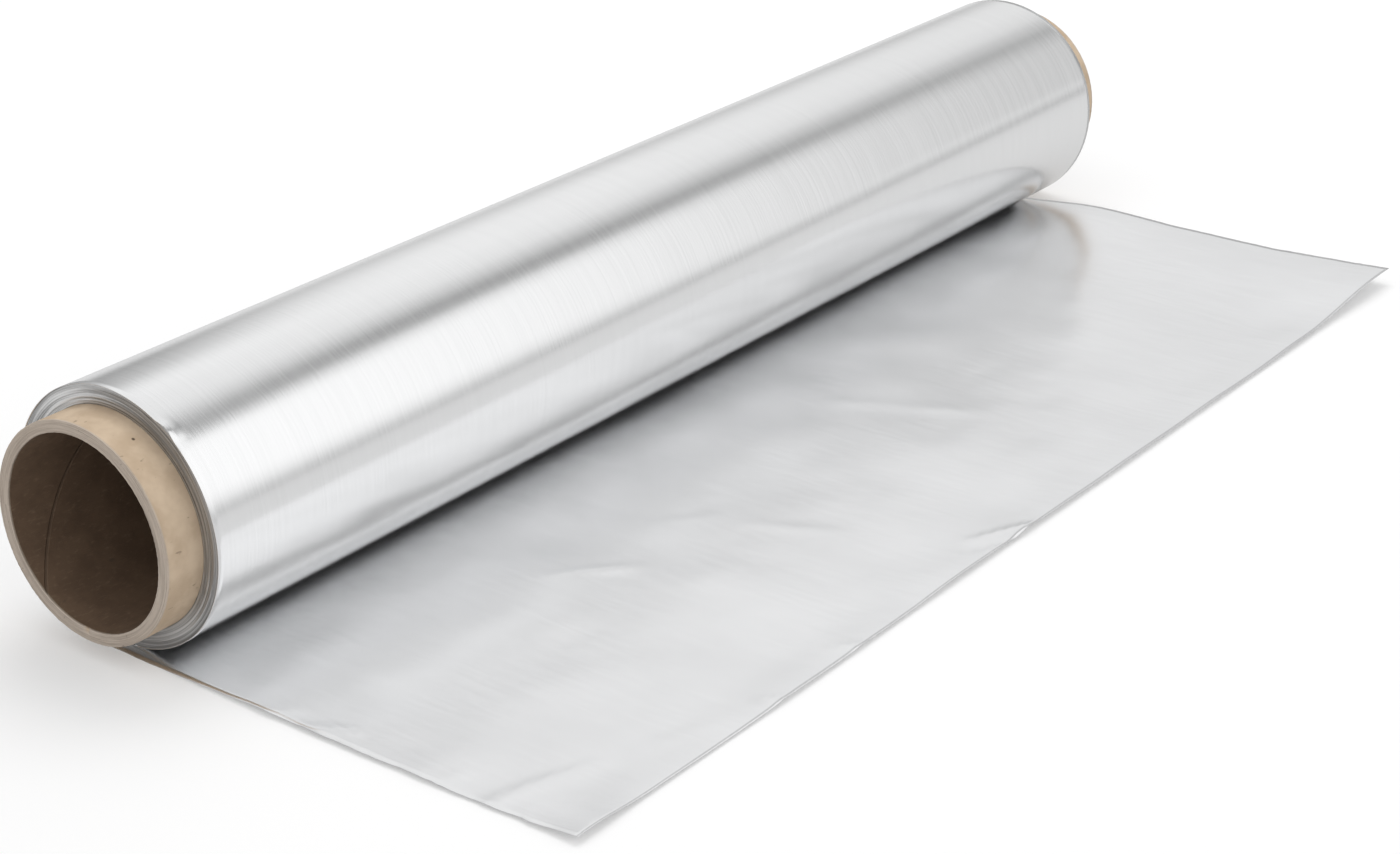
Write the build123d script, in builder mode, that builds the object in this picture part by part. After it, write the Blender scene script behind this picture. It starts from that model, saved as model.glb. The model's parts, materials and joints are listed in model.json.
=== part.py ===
"""Household aluminium foil roll: a foil web wound on a paperboard core, its free end lying out flat.

The roll lies on its side on a table, as it would after some foil has been pulled out. The roll's
axis is X, the free sheet leaves the underside of the roll towards -Y, and +Z is up. The origin is
on the axis, half way along the roll. All sizes are in millimetres.
"""

import os
from math import sqrt

from build123d import *

# ---- Driving dimensions ----------------------------------------------------------------------

# Core: a spirally wound paperboard tube
CORE_BORE_DIAMETER = 38.1  # the inch-and-a-half bore that dispenser plugs and spindles go into
CORE_WALL = 2.4
CORE_EDGE_BREAK = 0.3  # the cut ends are worn round by this much

# Foil: one web, counted as solid where its turns lie on each other
FOIL_WIDTH = 304.8  # a twelve-inch web
WOUND_THICKNESS = 4.0  # all the turns together, from the core to the outside of the roll
WINDING_CLEARANCE = 0.0  # the first turn is wound straight onto the core
CORE_STAND_OUT = 8.4  # length of bare core past each end of the foil

# Where the roll rests, its turns are pressed flat by its weight
FLAT_SPOT_WIDTH = 6.0

# Free sheet
SHEET_REACH = 108.2  # from the roll's axis out to the cut edge
SHEET_THICKNESS = 0.25  # far thicker than real foil, so that it stays a sound solid

# ---- Derived sizes ---------------------------------------------------------------------------

core_inner_radius = CORE_BORE_DIAMETER / 2
core_outer_radius = core_inner_radius + CORE_WALL
core_length = FOIL_WIDTH + 2 * CORE_STAND_OUT

foil_inner_radius = core_outer_radius + WINDING_CLEARANCE
foil_outer_radius = foil_inner_radius + WOUND_THICKNESS

# The flat spot is a chord of the roll, and its height sets the table under the roll and the sheet
table_z = -sqrt(foil_outer_radius**2 - (FLAT_SPOT_WIDTH / 2) ** 2)
sheet_top_z = table_z + SHEET_THICKNESS

# Every section is drawn across the axis, with its first direction along +Y and its second along +Z
section = Plane.YZ

# ---- Core ------------------------------------------------------------------------------------

with BuildPart() as core:
    with BuildSketch(section):
        Circle(core_outer_radius)
        Circle(core_inner_radius, mode=Mode.SUBTRACT)
    extrude(amount=core_length / 2, both=True)
    rims = core.edges().filter_by(GeomType.CIRCLE)
    fillet(rims, radius=min(CORE_EDGE_BREAK, 0.4 * CORE_WALL))

core.part.label = "core"

# ---- Foil ------------------------------------------------------------------------------------

with BuildPart() as foil:
    # The wound turns, with the flat spot at the bottom
    with BuildSketch(section):
        Circle(foil_outer_radius)
        with Locations((0, table_z)):
            Rectangle(
                2 * foil_outer_radius,
                2 * foil_outer_radius,
                align=(Align.CENTER, Align.MAX),
                mode=Mode.SUBTRACT,
            )
    extrude(amount=FOIL_WIDTH / 2, both=True)

    # The free sheet: the last turn, which leaves the flat spot along the table
    with BuildSketch(Plane.XY.offset(table_z)):
        with Locations((0, -SHEET_REACH)):
            Rectangle(FOIL_WIDTH, SHEET_REACH, align=(Align.CENTER, Align.MIN))
    extrude(amount=SHEET_THICKNESS)

    # The opening that the core fills
    with BuildSketch(section):
        Circle(foil_inner_radius)
    extrude(amount=FOIL_WIDTH / 2, both=True, mode=Mode.SUBTRACT)

foil.part.label = "foil"

# ---- Files -----------------------------------------------------------------------------------

os.makedirs("parts", exist_ok=True)
export_step(core.part, "parts/core.step")
export_step(foil.part, "parts/foil.step")

print(f"roll {2 * foil_outer_radius:.1f} mm across, {core_length:.1f} mm long over the core")
print(f"table {-table_z:.2f} mm below the axis, sheet's upper face at z {sheet_top_z:.2f} mm")
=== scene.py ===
"""A household foil roll lying on a table: its paperboard core, its wound turns and its free sheet."""

import json
import math

import bmesh
import bpy
from bpy.props import FloatProperty, FloatVectorProperty, PointerProperty
from bpy.types import Operator, Panel, PropertyGroup
from mathutils import Matrix, Vector, noise


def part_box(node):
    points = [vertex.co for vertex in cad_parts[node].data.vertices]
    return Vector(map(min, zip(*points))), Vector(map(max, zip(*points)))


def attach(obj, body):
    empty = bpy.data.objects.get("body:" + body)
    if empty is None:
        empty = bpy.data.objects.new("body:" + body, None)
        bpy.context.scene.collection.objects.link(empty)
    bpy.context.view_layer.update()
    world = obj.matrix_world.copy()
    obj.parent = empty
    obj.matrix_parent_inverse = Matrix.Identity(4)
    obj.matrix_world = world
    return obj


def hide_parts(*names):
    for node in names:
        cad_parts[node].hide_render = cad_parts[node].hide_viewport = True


bl_info = {
    "name": "Foil roll",
    "version": (1, 0, 0),
    "blender": (4, 5, 0),
    "location": "3D View > Sidebar > Foil roll",
    "description": "Finishes a packed foil roll: core, wound turns, free sheet and stage",
    "category": "Add Mesh",
}

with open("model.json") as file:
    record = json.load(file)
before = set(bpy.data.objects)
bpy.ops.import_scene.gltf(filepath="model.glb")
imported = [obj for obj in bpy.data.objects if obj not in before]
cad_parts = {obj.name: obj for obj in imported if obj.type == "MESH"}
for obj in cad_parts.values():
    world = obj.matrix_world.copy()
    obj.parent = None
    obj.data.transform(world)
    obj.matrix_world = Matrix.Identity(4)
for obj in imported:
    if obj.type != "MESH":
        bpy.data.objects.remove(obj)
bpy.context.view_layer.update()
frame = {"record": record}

# The roll's axis is X through the origin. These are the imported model's own sizes, in metres.
core_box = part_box("core")
foil_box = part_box("foil")
CORE_HALF = core_box[1][0]
CORE_RADIUS = core_box[1][2]
BORE_RADIUS = frame["record"]["mounts"][0]["dims"]["r_mm"] / 1000
FOIL_HALF = foil_box[1][0]
ROLL_RADIUS = foil_box[1][2]
TABLE = foil_box[0][2]
REACH = -foil_box[0][1]

MM = 0.001

# The wound turns stop just short of the core, and this many web gauges inside the last turn
CORE_GAP = 0.04 * MM
GAUGES_UNDER_LAST_TURN = 2.2
RING_STEPS = 240
NICK_ANGLE = math.radians(-93)
SPECK_ANGLE = math.radians(64)
SPECK_FROM_END = 5.4 * MM
FOLD_ANGLE = math.radians(56)
WEB_COLUMNS = 220
SHEET_ROWS = 78
LAST_TURN_STEPS = 132
LAST_TURN_ANGLE = math.radians(356)
FLOOR_DROP = 0.05 * MM
KEY_PLACE = Vector((0.5, 0.2, 1.3))


# ---- Small helpers ---------------------------------------------------------------------------


def smooth_step(low, high, value):
    """0 below low, 1 above high, and a smooth rise between them."""
    t = min(1.0, max(0.0, (value - low) / (high - low)))
    return t * t * (3.0 - 2.0 * t)


def hump(centre, half_width, value):
    """1 at the centre, falling smoothly to 0 at half_width on each side."""
    return 1.0 - smooth_step(0.0, half_width, abs(value - centre))


def axis_angle(co):
    """The angle of a point round the roll's axis: 0 at the front, a quarter turn at the top."""
    return math.atan2(co.z, -co.y)


def axis_radius(co):
    return math.hypot(co.y, co.z)


def set_radius(co, radius):
    """Moves a point straight out from the roll's axis, or straight in, to that radius."""
    scale = radius / axis_radius(co)
    co.y *= scale
    co.z *= scale


def finish_piece(bm, name, materials):
    """Turns a bmesh into a smooth-shaded object at the origin that rides on the roll."""
    mesh = bpy.data.meshes.new(name)
    bm.to_mesh(mesh)
    bm.free()
    for material in materials:
        mesh.materials.append(material)
    mesh.shade_smooth()
    piece = bpy.data.objects.new(name, mesh)
    bpy.context.scene.collection.objects.link(piece)
    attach(piece, "root")
    return piece


def spun_ring(outline):
    """A closed outline of (along the axis, radius) points, spun a full turn round the axis."""
    bm = bmesh.new()
    verts = [bm.verts.new((along, 0.0, radius)) for along, radius in outline]
    edges = [bm.edges.new(pair) for pair in zip(verts, verts[1:] + verts[:1])]
    bmesh.ops.spin(
        bm,
        geom=verts + edges,
        cent=(0, 0, 0),
        axis=(1, 0, 0),
        dvec=(0, 0, 0),
        angle=math.tau,
        steps=RING_STEPS,
        use_merge=True,
    )
    bmesh.ops.recalc_face_normals(bm, faces=bm.faces)
    return bm


# ---- Shader nodes ----------------------------------------------------------------------------


class Socket:
    """An output of a node tree. Arithmetic on it adds Math nodes."""

    def __init__(self, tree, socket=None):
        self.tree = tree
        self.socket = socket

    def add(self, kind, settings=None, inputs=None, output=0):
        """Adds a node, sets it up, then fills its inputs, and returns one of its outputs, if any."""
        made = self.tree.nodes.new(kind)
        for name, value in (settings or {}).items():
            if name == "stops":
                self.set_stops(made.color_ramp, value)
            else:
                setattr(made, name, value)
        for name, value in (inputs or {}).items():
            if isinstance(value, Socket):
                self.tree.links.new(value.socket, made.inputs[name])
            else:
                made.inputs[name].default_value = value
        return Socket(self.tree, made.outputs[output] if made.outputs else None)

    @staticmethod
    def set_stops(ramp, stops):
        """Gives a colour ramp its (position, grey or colour) stops."""
        while len(ramp.elements) < len(stops):
            ramp.elements.new(1.0)
        for element, (position, value) in zip(ramp.elements, stops):
            element.position = position
            colour = (value, value, value) if isinstance(value, float) else tuple(value)
            element.color = (*colour, 1.0)

    def maths(self, operation, *values):
        return self.add("ShaderNodeMath", {"operation": operation}, dict(enumerate(values)))

    def __add__(self, other):
        return self.maths("ADD", self, other)

    __radd__ = __add__

    def __sub__(self, other):
        return self.maths("SUBTRACT", self, other)

    def __rsub__(self, other):
        return self.maths("SUBTRACT", other, self)

    def __mul__(self, other):
        return self.maths("MULTIPLY", self, other)

    __rmul__ = __mul__

    def __truediv__(self, other):
        return self.maths("DIVIDE", self, other)

    def __pow__(self, other):
        return self.maths("POWER", self, other)

    def between(self, low, high):
        """0 below low and 1 above high, with a smooth rise between them. Low may be the larger."""
        return self.add(
            "ShaderNodeMapRange",
            {"interpolation_type": "SMOOTHSTEP"},
            {"Value": self, "From Min": low, "From Max": high},
        )

    def noise(self, vector, scale, detail=2.0, roughness=0.5):
        """Noise that averages about a half, at a scale in features per metre."""
        return self.add(
            "ShaderNodeTexNoise",
            None,
            {"Vector": vector, "Scale": scale, "Detail": detail, "Roughness": roughness},
        )

    def stretch(self, vector, scale):
        return self.add("ShaderNodeMapping", None, {"Vector": vector, "Scale": scale})

    def split(self, vector):
        """The x, y and z of a vector."""
        x = self.add("ShaderNodeSeparateXYZ", None, {"Vector": vector})
        others = [Socket(self.tree, out) for out in x.socket.node.outputs[1:]]
        return [x, *others]

    def join(self, x, y, z):
        return self.add("ShaderNodeCombineXYZ", None, {"X": x, "Y": y, "Z": z})

    def blend(self, factor, first, second):
        """A colour between two colours: the first at 0, the second at 1."""
        return self.add(
            "ShaderNodeMix",
            {"data_type": "RGBA"},
            {0: factor, 6: as_colour(first), 7: as_colour(second)},
            output=2,
        )

    def bump(self, height, distance, strength=1.0, normal=None):
        inputs = {"Height": height, "Distance": distance, "Strength": strength}
        if normal:
            inputs["Normal"] = normal
        return self.add("ShaderNodeBump", None, inputs)


def as_colour(value):
    """A colour property with its alpha, or a socket as it is."""
    return value if isinstance(value, Socket) else (*value, 1.0)


def new_material(name):
    """An empty material, and a Socket that adds nodes to it."""
    material = bpy.data.materials.new(name)
    material.use_nodes = True
    material.node_tree.nodes.clear()
    return material, Socket(material.node_tree)


def surface(net, inputs):
    """Ends a material in one Principled shader with these inputs."""
    shader = net.add("ShaderNodeBsdfPrincipled", None, inputs)
    net.add("ShaderNodeOutputMaterial", None, {"Surface": shader})


# ---- Materials -------------------------------------------------------------------------------


def board_material(finish, sizes):
    """Paperboard: smooth kraft outside, fibrous plies on the cut ends, and a bore coloured far darker
    than the board, as painted shade inside the tube.
    """
    material, net = new_material("core_board")
    place = net.add("ShaderNodeTexCoord", output=3)
    x, y, z = net.split(place)
    radius = (y * y + z * z) ** 0.5
    turn = net.maths("ARCTAN2", z, 0 - y) / math.tau

    end = net.maths("ABSOLUTE", x).between(CORE_HALF - 0.7 * MM, CORE_HALF - 0.25 * MM)
    bore = radius.between(BORE_RADIUS + 0.45 * MM, BORE_RADIUS + 0.15 * MM) * (1 - end)

    fibres = net.noise(net.stretch(place, (0.35, 1.0, 1.0)), 1500, 5, 0.7)
    blotches = net.noise(place, 160, 3, 0.6)
    flecks = net.noise(net.stretch(place, (0.4, 1.0, 1.0)), 1100, 2, 0.5).between(0.69, 0.76)
    plies = net.noise(net.join(radius * 4200, turn * 9, x * 300), 1.0, 3, 0.6)

    # The inner ply's edges meet along a helix, which shows as a thin line in the bore
    helix = net.maths("FRACT", turn + x / sizes.seam_pitch + sizes.seam_start)
    seam = (net.maths("ABSOLUTE", helix - 0.5)).between(0.006, 0.002) * bore

    outside = net.blend(blotches.between(0.3, 0.7), finish.kraft, finish.kraft_dark)
    cut = net.blend(plies.between(0.35, 0.7), finish.cut_board, finish.cut_board_dark)
    # The bore's colour is painted shade: a far darker brown than the board itself, for the shade inside
    # the tube.
    inside = net.blend(blotches.between(0.3, 0.7), finish.bore_painted_shade, finish.bore_painted_shade_fibres)
    colour = net.blend(end, net.blend(bore, outside, inside), cut)
    colour = net.blend(fibres.between(0.52, 0.8) * 0.25, colour, finish.kraft_dark)
    colour = net.blend(flecks * 0.45, colour, finish.fleck)
    colour = net.blend(seam * 0.4, colour, finish.fleck)

    speck = net.add(
        "ShaderNodeVectorMath",
        {"operation": "DISTANCE"},
        {0: place, 1: speck_place()},
        output=1,
    )
    colour = net.blend(speck.between(0.42 * MM, 0.2 * MM), colour, finish.fleck)

    relief = fibres * 0.6 + blotches * 0.4 + plies * end * 1.6 - seam * 1.5
    surface(
        net,
        {
            "Base Color": colour,
            "Roughness": 0.78 + fibres * 0.15,
            "Specular IOR Level": 0.3,
            "Normal": net.bump(relief, 0.12 * MM, 0.8),
        },
    )
    return material


def speck_place():
    """Where one dark speck sits on the bare core, near its end."""
    front = -CORE_RADIUS * math.cos(SPECK_ANGLE)
    return (-CORE_HALF + SPECK_FROM_END, front, CORE_RADIUS * math.sin(SPECK_ANGLE))


def web_coordinates(net):
    """The distance along the web and across it, in metres, as two numbers."""
    place = net.add("ShaderNodeUVMap", {"uv_map": "web"})
    along, across, _ = net.split(place)
    return along, across


def bright_material(finish):
    """The web's bright side: mirror-like, with fine streaks along its run from the mill's rolls."""
    material, net = new_material("foil_bright")
    along, across = web_coordinates(net)
    fine = net.noise(net.join(across * 2600, along * 26, 0.0), 1.0, 3, 0.65)
    broad = net.noise(net.join(across * 520, along * 9, 3.0), 1.0, 3, 0.6)
    handling = net.noise(net.join(across * 34, along * 30, 9.0), 1.0, 2, 0.5)
    shade = (fine * 0.75 + broad * 0.25).between(0.25, 0.75)
    rough = finish.bright_roughness + (fine - 0.5) * 0.10 + (broad - 0.5) * 0.03
    streaks = net.bump(fine + broad * 0.5, 0.02 * MM, finish.streak_depth)
    relief = net.bump(handling, 0.3 * MM, 0.2, streaks)
    surface(
        net,
        {
            "Base Color": net.blend(shade, finish.bright_dark, finish.bright),
            "Metallic": 1.0,
            "Roughness": rough,
            "Normal": relief,
        },
    )
    return material


def dull_material(finish):
    """The web's dull side: matte metal with a faint grain along its run."""
    material, net = new_material("foil_dull")
    along, across = web_coordinates(net)
    grain = net.noise(net.join(across * 900, along * 60, 0.0), 1.0, 3, 0.6)
    cloud = net.noise(net.join(across * 40, along * 26, 4.0), 1.0, 3, 0.5)
    wrinkles = net.noise(net.join(across * 120, along * 90, 8.0), 1.0, 4, 0.6)
    shade = (grain * 0.4 + cloud * 0.6).between(0.3, 0.7)
    relief = net.bump(wrinkles, 0.25 * MM, 0.22, net.bump(grain, 0.02 * MM, 0.35))
    surface(
        net,
        {
            "Base Color": net.blend(shade, finish.dull_dark, finish.dull),
            "Metallic": 1.0,
            "Roughness": finish.dull_roughness + (grain - 0.5) * 0.08,
            "Normal": relief,
        },
    )
    return material


def edge_material(finish):
    """The edges of the wound turns: hundreds of hairlines round the roll's ends, with painted shade in
    the gaps between them.
    """
    material, net = new_material("foil_edges")
    place = net.add("ShaderNodeTexCoord", output=3)
    x, y, z = net.split(place)
    radius = (y * y + z * z) ** 0.5
    turn = net.maths("ARCTAN2", z, 0 - y)
    wander = net.noise(place, 55, 2, 0.5)
    depth = radius + wander * 0.5 * MM
    hairs = net.noise(net.join(depth * 7000, turn * 0.5, x * 20), 1.0, 3, 0.7)
    bands = net.noise(net.join(depth * 1900, turn * 0.7, 5.0), 1.0, 2, 0.6)
    # The darker of the two colours is painted shade for the gaps between the turns; the hairlines take
    # the foil's own colour.
    shade = (hairs * 0.55 + bands * 0.45).between(0.36, 0.62)
    surface(
        net,
        {
            "Base Color": net.blend(shade, finish.turn_gap_shade, finish.edge),
            "Metallic": 1.0,
            "Roughness": 0.3 + (1 - shade) * 0.15,
            "Normal": net.bump(hairs * 0.5 + bands, 0.10 * MM, 0.7),
        },
    )
    return material


def floor_material(stage):
    """A pale floor that shows as white to the camera and still takes the roll's shadow."""
    material, net = new_material("floor")
    rays = net.add("ShaderNodeLightPath")
    camera = Socket(net.tree, rays.socket.node.outputs["Is Camera Ray"])
    glossy = Socket(net.tree, rays.socket.node.outputs["Is Glossy Ray"])
    clear = Socket(net.tree, rays.socket.node.outputs["Is Transmission Ray"])
    lift = camera * stage.floor_lift + (glossy + clear) * stage.floor_lift_mirrored
    colour = (*stage.floor_colour, 1.0)
    paint = net.add("ShaderNodeBsdfDiffuse", None, {"Color": colour})
    glow = net.add("ShaderNodeEmission", None, {"Strength": lift})
    both = net.add("ShaderNodeAddShader", None, {0: paint, 1: glow})
    net.add("ShaderNodeOutputMaterial", None, {"Surface": both})
    return material


# ---- Sizes and colours -----------------------------------------------------------------------


def length(name, description, default):
    return FloatProperty(
        name=name, description=description, default=default, unit="LENGTH", precision=5
    )


def number(name, description, default):
    return FloatProperty(name=name, description=description, default=default)


def paint(name, description, default):
    return FloatVectorProperty(
        name=name, description=description, default=default, subtype="COLOR", min=0.0, max=1.0
    )


class FoilRollSizes(PropertyGroup):
    gauge: length("Foil gauge", "Thickness of the web as modelled", 0.00009)
    slip: length("Sideways slip", "How far the free sheet's near edge stands past the roll", 0.0028)
    edge_curl: length("Edge curl", "Height of the cut edge above the table", 0.0008)
    far_draw: length("Far draw", "How far the sheet's far corner is drawn out along the roll", 0.0022)
    near_curl: length("Near corner", "Height of the near corner above the table", 0.0002)
    far_lift: length("Far side lift", "Height of the free sheet's far edge", 0.0021)
    far_curl: length("Far corner", "Height of the far corner above the table", 0.0032)
    wave_height: length("Waves", "Height of the broad waves in the free sheet", 0.0005)
    rim_curl: length("Rim curl", "Height of the small fold at the near rim", 0.0007)
    turn_offset: length("Turn offset", "How unevenly the turns' edges line up", 0.00013)
    ply: length("Core ply", "Thickness of one ply of the core's board", 0.0003)
    fray: length("Core fray", "Roughness of the core's cut ends", 0.00007)
    seam_pitch: length("Seam pitch", "Length of bore in which the seam goes round once", 0.0834)
    seam_start: number("Seam start", "Where the seam starts round the bore, in turns", 0.7734)


class FoilRollFinish(PropertyGroup):
    bright: paint("Bright side", "The bright side's colour", (0.91, 0.913, 0.917))
    bright_dark: paint("Bright side streaks", "The bright side's streaks", (0.85, 0.854, 0.858))
    dull: paint("Dull side", "The dull side's colour", (0.885, 0.889, 0.897))
    dull_dark: paint("Dull side grain", "The dull side's darker grain", (0.835, 0.839, 0.847))
    edge: paint("Turn edges", "The wound edges' colour", (0.92, 0.92, 0.92))
    # The turn gaps' colour is painted shade for the gaps between the wound turns.
    turn_gap_shade: paint("Turn gaps", "The gaps between the turns", (0.30, 0.295, 0.29))
    kraft: paint("Board", "The core's outside", (0.65, 0.515, 0.375))
    kraft_dark: paint("Board fibres", "The core's darker fibres", (0.53, 0.405, 0.285))
    cut_board: paint("Cut board", "The core's cut ends", (0.60, 0.515, 0.435))
    cut_board_dark: paint("Cut plies", "The lines between the plies", (0.42, 0.35, 0.29))
    # The bore's two colours are painted shade: far darker than the board itself, for the shade inside
    # the tube.
    bore_painted_shade: paint("Bore", "The inside of the core", (0.19, 0.125, 0.08))
    bore_painted_shade_fibres: paint("Bore fibres", "The inside's darker fibres", (0.15, 0.097, 0.062))
    fleck: paint("Flecks", "Dark flecks in the board", (0.12, 0.085, 0.06))
    bright_roughness: number("Bright roughness", "How soft the bright side's mirror is", 0.17)
    streak_depth: number("Streaks", "How deep the bright side's streaks look", 0.5)
    dull_roughness: number("Dull roughness", "How soft the dull side's mirror is", 0.25)


class FoilRollStage(PropertyGroup):
    distance: length("Camera distance", "From the camera to what it looks at", 0.6172)
    aim_x: length("Aim along the roll", "What the camera looks at, along the roll", -0.0127)
    aim_y: length("Aim across the sheet", "What the camera looks at, across the sheet", -0.0264)
    azimuth: number("Azimuth", "The camera's heading, in degrees from +X towards +Y", 36.245)
    elevation: number("Elevation", "How far the camera looks down, in degrees", 24.542)
    tilt: number("Tilt", "The camera's turn about its own line of sight, in degrees", 0.594)
    lens: number("Lens", "Focal length in millimetres", 74.74)
    floor_size: length("Floor", "Half the floor's width", 6.0)
    floor_colour: paint("Floor colour", "The floor's own colour", (0.70, 0.70, 0.70))
    floor_lift: number("Floor glow", "Light added where the camera sees the floor", 0.29)
    floor_lift_mirrored: number("Mirrored glow", "Light added where foil mirrors the floor", 0.02)


# ---- The pieces ------------------------------------------------------------------------------


def core_outline(sizes):
    """The core's section: outside, near cut end, bore and far cut end."""
    wall = CORE_RADIUS - BORE_RADIUS
    plies = round(wall / sizes.ply)
    ends = [0.0, 0.08, 0.25, 0.6, 1.4, 3.0, 5.0, 8.0, 11.0]
    lengths = [CORE_HALF - (gap + 0.12) * MM for gap in ends]
    outside = [(-at, CORE_RADIUS) for at in lengths] + [(at, CORE_RADIUS) for at in lengths[::-1]]
    bore_steps = [0.0, 0.08, 0.25, 0.6, 1.4, 3.0, 6.0, 12.0, 24.0, 48.0, 90.0]
    lengths = [CORE_HALF - (gap + 0.12) * MM for gap in bore_steps]
    bore = [(at, BORE_RADIUS) for at in lengths] + [(-at, BORE_RADIUS) for at in lengths[::-1]]
    face = []
    for step in range(1, 2 * plies):
        depth = 0.02 if step % 2 else 0.09
        face.append((CORE_HALF - depth * MM, CORE_RADIUS - wall * step / (2 * plies)))
    far_face = face
    near_face = [(-at, radius) for at, radius in face[::-1]]
    return outside + far_face + bore + near_face


def build_core(sizes, finish):
    """Spins the core's section, then frays its cut ends and nicks the near one."""
    bm = spun_ring(core_outline(sizes))
    for vert in bm.verts:
        co = vert.co
        to_end = CORE_HALF - abs(co.x)
        worn = 1.0 - smooth_step(0.0, 1.5 * MM, to_end)
        if worn == 0.0:
            continue
        angle = axis_angle(co)
        radius = axis_radius(co)
        side = math.copysign(1.0, co.x)
        grain = Vector((radius * 2500, math.cos(angle) * 42, math.sin(angle) * 42 + side * 7))
        torn = noise.noise(grain) + 0.6 * noise.noise(grain * 2.7)
        co.x -= side * sizes.fray * worn * (1.0 + torn)
        set_radius(co, radius + sizes.fray * worn * 0.8 * noise.noise(grain * 1.9))
        if side < 0:
            away = math.hypot((angle - NICK_ANGLE) * radius, (radius - BORE_RADIUS) * 0.6)
            nick = 1.0 - smooth_step(0.2 * MM, 1.1 * MM, away)
            co.x += 0.5 * MM * nick
    piece = finish_piece(bm, "core_board", [board_material(finish, sizes)])
    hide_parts("core")


def turns_radii(sizes):
    """The wound turns' inner and outer radius."""
    return CORE_RADIUS + CORE_GAP, ROLL_RADIUS - GAUGES_UNDER_LAST_TURN * sizes.gauge


def turns_outline(sizes):
    """The wound turns' section: a flat outside and inside, and fine ridges at both ends."""
    inner, outer = turns_radii(sizes)
    ridges = 44
    face = []
    for step in range(2 * ridges + 1):
        radius = inner + (outer - inner) * step / (2 * ridges)
        group = noise.noise(Vector((radius * 1900, 2.0, 7.0)))
        dip = sizes.turn_offset * (0.9 * group + (0.55 if step % 2 else 0.0))
        face.append((FOIL_HALF - 0.25 * MM - dip, radius))
    near = [(-at, radius) for at, radius in face]
    return near + face[::-1]


def build_turns(sizes, finish):
    """Spins the wound turns, presses their flat spot and lets the lowest ones sag apart."""
    bm = spun_ring(turns_outline(sizes))
    inner, outer = turns_radii(sizes)
    depth = outer - inner
    for vert in bm.verts:
        co = vert.co
        angle = axis_angle(co)
        radius = axis_radius(co)
        into = (radius - inner) / depth
        side = math.copysign(1.0, co.x)
        around = Vector((math.cos(angle) * 1.3, math.sin(angle) * 1.3, radius * 900 + side * 20))
        co.x += side * sizes.turn_offset * 1.3 * noise.noise(around)
        wander = 0.16 * MM * math.sin(math.pi * into)
        set_radius(co, radius + wander * noise.noise(around * 0.8))
        floor = TABLE + sizes.gauge * 1.5 + (1.0 - into) * 0.4 * MM
        co.z = max(co.z, floor)
    piece = finish_piece(bm, "foil_turns", [edge_material(finish)])
    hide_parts("foil")


# Creases in the free sheet: start and end as (along the roll, in front of the axis), in mm, with
# each crease's half width in mm and its height in mm. Negative heights are valleys.
CREASES = (
    ((-86, -45), (-72, -56), 2.2, 0.35),
    ((-80, -54), (-76, -60), 1.6, -0.15),
    ((-54, -47), (-45, -55), 2.5, 0.12),
    ((-156, -47), (-151, -57), 1.6, 0.45),
    ((-156, -38), (-152, -43), 1.4, 0.25),
    ((-156, -88), (-134, -94), 3.0, 0.40),
    ((-155, -77), (-150, -80), 1.5, 0.20),
    ((-25, -101), (-9, -109), 2.0, 0.55),
    ((-29, -103), (-14, -109), 1.4, -0.30),
    ((-101, -104), (-96, -109), 1.6, 0.30),
    ((-77, -104), (-71, -109), 1.6, 0.25),
    ((-126, -97), (-110, -103), 3.5, 0.15),
    ((14, -40), (30, -70), 5.0, 0.18),
    ((-44, -62), (-36, -78), 3.5, 0.15),
)


def crease_height(x, y):
    """The sum of all the creases at a place on the sheet, in metres."""
    total = 0.0
    at = Vector((x, y)) / MM
    for start, end, half_width, height in CREASES:
        start = Vector(start)
        run = Vector(end) - start
        share = min(1.0, max(0.0, (at - start).dot(run) / run.length_squared))
        away = (at - start - run * share).length
        taper = math.sin(math.pi * (0.15 + 0.7 * share))
        total += height * MM * taper * max(0.0, 1.0 - away / half_width) ** 1.5
    return total


def sheet_height(sizes, x, y):
    """How far the free sheet stands above the table at a place on it."""
    free = smooth_step(6 * MM, 30 * MM, -y)
    to_cut = REACH + y
    slow = noise.noise(Vector((x * 21, y * 30, 1.5))) + 0.5 * noise.noise(Vector((x * 55, y * 70, 6.0)))
    waves = sizes.wave_height * free * max(0.0, 0.45 + slow)
    cut = sizes.edge_curl * (1.0 - smooth_step(0.0, 12 * MM, to_cut))
    cut *= 0.75 + 0.5 * noise.noise(Vector((x * 30, 0.0, 2.0)))
    near = 1.0 - smooth_step(0.0, 16 * MM, x + FOIL_HALF)
    near_side = 0.45 * MM * near * free * (1.0 + noise.noise(Vector((y * 60, 4.0, 0.0))))
    near_corner = sizes.near_curl * near * (1.0 - smooth_step(0.0, 25 * MM, to_cut))
    far = smooth_step(FOIL_HALF - 42 * MM, FOIL_HALF, x)
    far_side = sizes.far_lift * far * smooth_step(3 * MM, 32 * MM, -y)
    far_corner = (sizes.far_curl - sizes.far_lift) * far * (1.0 - smooth_step(0.0, 30 * MM, to_cut))
    return waves + cut + near_side + near_corner + far_side + far_corner + free * crease_height(x, y)


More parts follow.
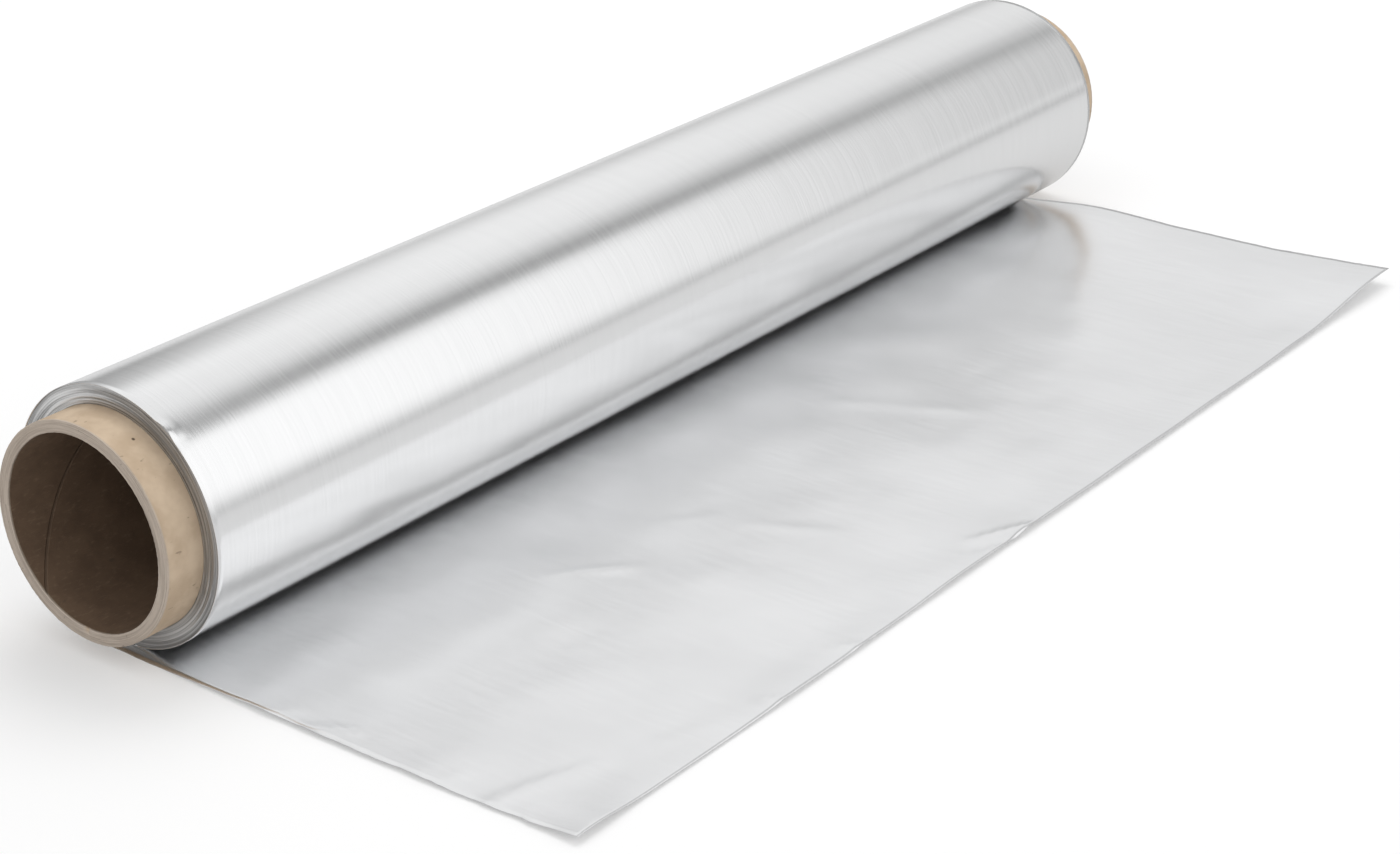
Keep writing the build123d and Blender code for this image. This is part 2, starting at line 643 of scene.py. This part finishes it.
def shape_sheet(sizes, verts):
    """Slips the free sheet sideways at its near edge, roughens its edges and lets it stand in waves."""
    for vert in verts:
        x, y = vert.co.x, vert.co.y
        near = 0.5 - 0.5 * x / FOIL_HALF
        x -= sizes.slip * near
        bow = 0.8 * MM * math.sin(math.pi * min(1.0, -y / REACH)) * near
        edge = 1.0 - smooth_step(0.0, 2.5 * MM, FOIL_HALF - abs(vert.co.x))
        nicks = noise.noise(Vector((y * 700, 0.3, x * 5))) + noise.noise(Vector((y * 210, 5.0, x * 5)))
        worn = 0.12 + 0.16 * smooth_step(0.4 * REACH, REACH, -y)
        cut = 1.0 - smooth_step(0.0, 2.5 * MM, REACH + y)
        draw = smooth_step(0.6 * FOIL_HALF, FOIL_HALF, x) * smooth_step(0.3 * REACH, REACH, -y)
        vert.co.x = x - bow + edge * nicks * worn * MM + sizes.far_draw * draw
        vert.co.y = y + cut * (0.5 * MM * noise.noise(Vector((x * 17, 0.0, 8.0))) + 0.7 * MM)
        vert.co.z = TABLE + sheet_height(sizes, vert.co.x, vert.co.y)


def shape_last_turn(sizes, verts):
    """Winds the last turn in under the sheet, with its flat spot and the small fold at its rim."""
    for vert in verts:
        co = vert.co
        turned = math.atan2(co.y, -co.z) % math.tau
        near = 0.5 - 0.5 * co.x / FOIL_HALF
        co.x -= sizes.slip * near * (1.0 - smooth_step(0.0, math.radians(105), turned))
        set_radius(co, ROLL_RADIUS - 1.1 * sizes.gauge * turned / math.tau)
        under = TABLE + (1.1 * sizes.gauge if turned > math.pi else 0.0)
        co.z = max(co.z, under)
        fold = hump(FOLD_ANGLE, math.radians(7), axis_angle(co))
        fold *= 1.0 - smooth_step(0.0, 2.4 * MM, co.x + FOIL_HALF)
        set_radius(co, axis_radius(co) + sizes.rim_curl * fold)


def build_web(sizes):
    """The last turn and the free sheet, as one strip: flat along the table, then round the roll."""
    bm = bmesh.new()
    size = Matrix.Diagonal((FOIL_HALF, REACH / 2, 1.0, 1.0))
    place = Matrix.Translation((0.0, -REACH / 2, TABLE)) @ size
    bmesh.ops.create_grid(
        bm, x_segments=WEB_COLUMNS, y_segments=SHEET_ROWS, size=1.0, matrix=place
    )
    sheet = list(bm.verts)
    start = [edge for edge in bm.edges if all(abs(vert.co.y) < 1e-7 for vert in edge.verts)]
    joint = {vert for edge in start for vert in edge.verts}
    bmesh.ops.spin(
        bm,
        geom=start,
        cent=(0, 0, 0),
        axis=(1, 0, 0),
        dvec=(0, 0, 0),
        angle=LAST_TURN_ANGLE,
        steps=LAST_TURN_STEPS,
    )
    bmesh.ops.remove_doubles(bm, verts=bm.verts, dist=1e-6)
    flat = set(sheet)
    last_turn = [vert for vert in bm.verts if vert not in flat]

    run = {vert: REACH + vert.co.y for vert in sheet}
    for vert in last_turn:
        run[vert] = REACH + ROLL_RADIUS * (math.atan2(vert.co.y, -vert.co.z) % math.tau)
    uv = bm.loops.layers.uv.new("web")
    for face in bm.faces:
        for loop in face.loops:
            loop[uv].uv = (run[loop.vert], loop.vert.co.x)

    shape_sheet(sizes, [vert for vert in sheet if vert not in joint])
    shape_last_turn(sizes, last_turn + list(joint))
    bmesh.ops.recalc_face_normals(bm, faces=bm.faces)
    return bm


class FOIL_ROLL_OT_core(Operator):
    """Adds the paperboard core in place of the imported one"""

    bl_idname = "foil_roll.core"
    bl_label = "Core"

    def execute(self, context):
        build_core(context.scene.foil_sizes, context.scene.foil_finish)
        return {"FINISHED"}


class FOIL_ROLL_OT_turns(Operator):
    """Adds the wound turns of foil, with their edges at both ends"""

    bl_idname = "foil_roll.turns"
    bl_label = "Wound turns"

    def execute(self, context):
        build_turns(context.scene.foil_sizes, context.scene.foil_finish)
        return {"FINISHED"}


class FOIL_ROLL_OT_web(Operator):
    """Adds the last turn and the free sheet as one strip of foil"""

    bl_idname = "foil_roll.web"
    bl_label = "Last turn and free sheet"

    def execute(self, context):
        sizes = context.scene.foil_sizes
        finish = context.scene.foil_finish
        materials = [bright_material(finish), dull_material(finish)]
        web = finish_piece(build_web(sizes), "foil_web", materials)
        gauge = web.modifiers.new("gauge", "SOLIDIFY")
        gauge.thickness = sizes.gauge
        gauge.offset = -1.0
        gauge.material_offset = 1
        gauge.material_offset_rim = 0
        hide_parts("foil")
        return {"FINISHED"}


class FOIL_ROLL_OT_stage(Operator):
    """Adds the camera, the table top and the soft studio light"""

    bl_idname = "foil_roll.stage"
    bl_label = "Stage"

    def execute(self, context):
        stage = context.scene.foil_stage
        place_camera(stage)
        lay_floor(stage)
        light_studio()
        context.scene.view_settings.view_transform = "Standard"
        return {"FINISHED"}


def place_camera(stage):
    """Stands the camera back from its aim along its heading, and turns it to look there."""
    heading = math.radians(stage.azimuth)
    down = math.radians(stage.elevation)
    level = math.cos(down)
    line = Vector((level * math.cos(heading), level * math.sin(heading), -math.sin(down)))
    right = line.cross(Vector((0, 0, 1))).normalized()
    up = right.cross(line)
    axes = Matrix((right, up, -line)).transposed()
    turn = axes.to_4x4() @ Matrix.Rotation(math.radians(stage.tilt), 4, "Z")
    aim = Vector((stage.aim_x, stage.aim_y, TABLE))
    lens = bpy.data.cameras.new("camera")
    lens.lens = stage.lens
    lens.sensor_width = 36.0
    lens.clip_start = 0.01
    lens.clip_end = 50.0
    camera = bpy.data.objects.new("camera", lens)
    camera.matrix_world = Matrix.Translation(aim - line * stage.distance) @ turn
    bpy.context.scene.collection.objects.link(camera)
    bpy.context.scene.camera = camera


def lay_floor(stage):
    bm = bmesh.new()
    place = Matrix.Translation((0.0, 0.0, TABLE - FLOOR_DROP))
    bmesh.ops.create_grid(bm, x_segments=1, y_segments=1, size=stage.floor_size, matrix=place)
    mesh = bpy.data.meshes.new("floor")
    bm.to_mesh(mesh)
    bm.free()
    mesh.materials.append(floor_material(stage))
    floor = bpy.data.objects.new("floor", mesh)
    bpy.context.scene.collection.objects.link(floor)


# The studio's brightness round the roll's axis: (degrees up from the front horizon, brightness)
STUDIO_ARCH = (
    (0, 0.58),
    (3, 0.62),
    (10, 0.95),
    (18, 1.10),
    (62, 1.10),
    (70, 0.95),
    (76, 0.46),
    (83, 0.34),
    (92, 0.64),
    (104, 0.88),
    (125, 0.95),
    (150, 0.93),
    (164, 0.78),
    (174, 0.66),
    (180, 0.66),
)


def light_studio():
    """A pale studio: a soft box in front and one behind with a dimmer gap overhead, dimmer at +X."""
    world = bpy.data.worlds.new("studio")
    bpy.context.scene.world = world
    world.use_nodes = True
    world.node_tree.nodes.clear()
    net = Socket(world.node_tree)
    heading = net.add("ShaderNodeTexCoord")
    x, y, z = net.split(heading)
    up = net.maths("ARCTAN2", z.maths("MAXIMUM", z, 0.0), 0 - y) / math.pi
    # The gap leans forward at the near end, so its dark line runs lower on the roll there
    up = up + x.between(0.66, 0.59) * up.between(0.30, 0.38) * up.between(0.62, 0.52) * 0.07
    stops = [(degrees / 180, float(level) / 2) for degrees, level in STUDIO_ARCH]
    arch = net.add("ShaderNodeValToRGB", {"stops": stops}, {"Fac": up})
    level = arch.maths("MULTIPLY", arch, 2.0)
    far = x.between(0.68, 0.86)
    boxed = up.between(0.03, 0.10) * up.between(0.45, 0.38)
    level = level * (1 - far * (0.12 + 0.34 * boxed))
    gap = up.between(0.38, 0.43) * up.between(0.53, 0.48)
    level = level + far * gap * 0.14
    dim_corner = x.between(0.67, 0.60) * up.between(0.70, 0.84) * up.between(1.0, 0.95)
    level = level * (1 - dim_corner * 0.5)
    rays = net.add("ShaderNodeLightPath")
    seen = Socket(net.tree, rays.socket.node.outputs["Is Camera Ray"])
    strength = level * (1 - seen) + seen
    back = net.add("ShaderNodeBackground", None, {"Strength": strength})
    net.add("ShaderNodeOutputWorld", None, {"Surface": back})
    back.socket.node.inputs["Color"].default_value = (1.0, 1.0, 1.0, 1.0)

    key = bpy.data.lights.new("key", "AREA")
    key.shape = "RECTANGLE"
    key.size = 1.2
    key.size_y = 0.8
    key.energy = 6.0
    lamp = bpy.data.objects.new("key", key)
    lamp.location = KEY_PLACE
    lamp.rotation_euler = KEY_PLACE.to_track_quat("Z", "Y").to_euler()
    lamp.visible_glossy = False
    bpy.context.scene.collection.objects.link(lamp)


class FOIL_ROLL_PT_panel(Panel):
    """Lists the roll's pieces, sizes and colours"""

    bl_idname = "FOIL_ROLL_PT_panel"
    bl_label = "Foil roll"
    bl_space_type = "VIEW_3D"
    bl_region_type = "UI"
    bl_category = "Foil roll"

    def draw(self, context):
        layout = self.layout
        for operator in OPERATORS:
            layout.operator(operator.bl_idname)
        for group in (context.scene.foil_sizes, context.scene.foil_finish, context.scene.foil_stage):
            box = layout.box()
            for name in group.__annotations__:
                box.prop(group, name)


OPERATORS = (FOIL_ROLL_OT_core, FOIL_ROLL_OT_turns, FOIL_ROLL_OT_web, FOIL_ROLL_OT_stage)
GROUPS = {
    "foil_sizes": FoilRollSizes,
    "foil_finish": FoilRollFinish,
    "foil_stage": FoilRollStage,
}


def register():
    for group in GROUPS.values():
        bpy.utils.register_class(group)
    for operator in OPERATORS:
        bpy.utils.register_class(operator)
    bpy.utils.register_class(FOIL_ROLL_PT_panel)
    for name, group in GROUPS.items():
        setattr(bpy.types.Scene, name, PointerProperty(type=group))


def unregister():
    for name in GROUPS:
        delattr(bpy.types.Scene, name)
    bpy.utils.unregister_class(FOIL_ROLL_PT_panel)
    for operator in reversed(OPERATORS):
        bpy.utils.unregister_class(operator)
    for group in reversed(GROUPS.values()):
        bpy.utils.unregister_class(group)


def main():
    register()
    bpy.ops.foil_roll.stage()
    bpy.ops.foil_roll.core()
    bpy.ops.foil_roll.turns()
    bpy.ops.foil_roll.web()


if __name__ == "__main__":
    main()
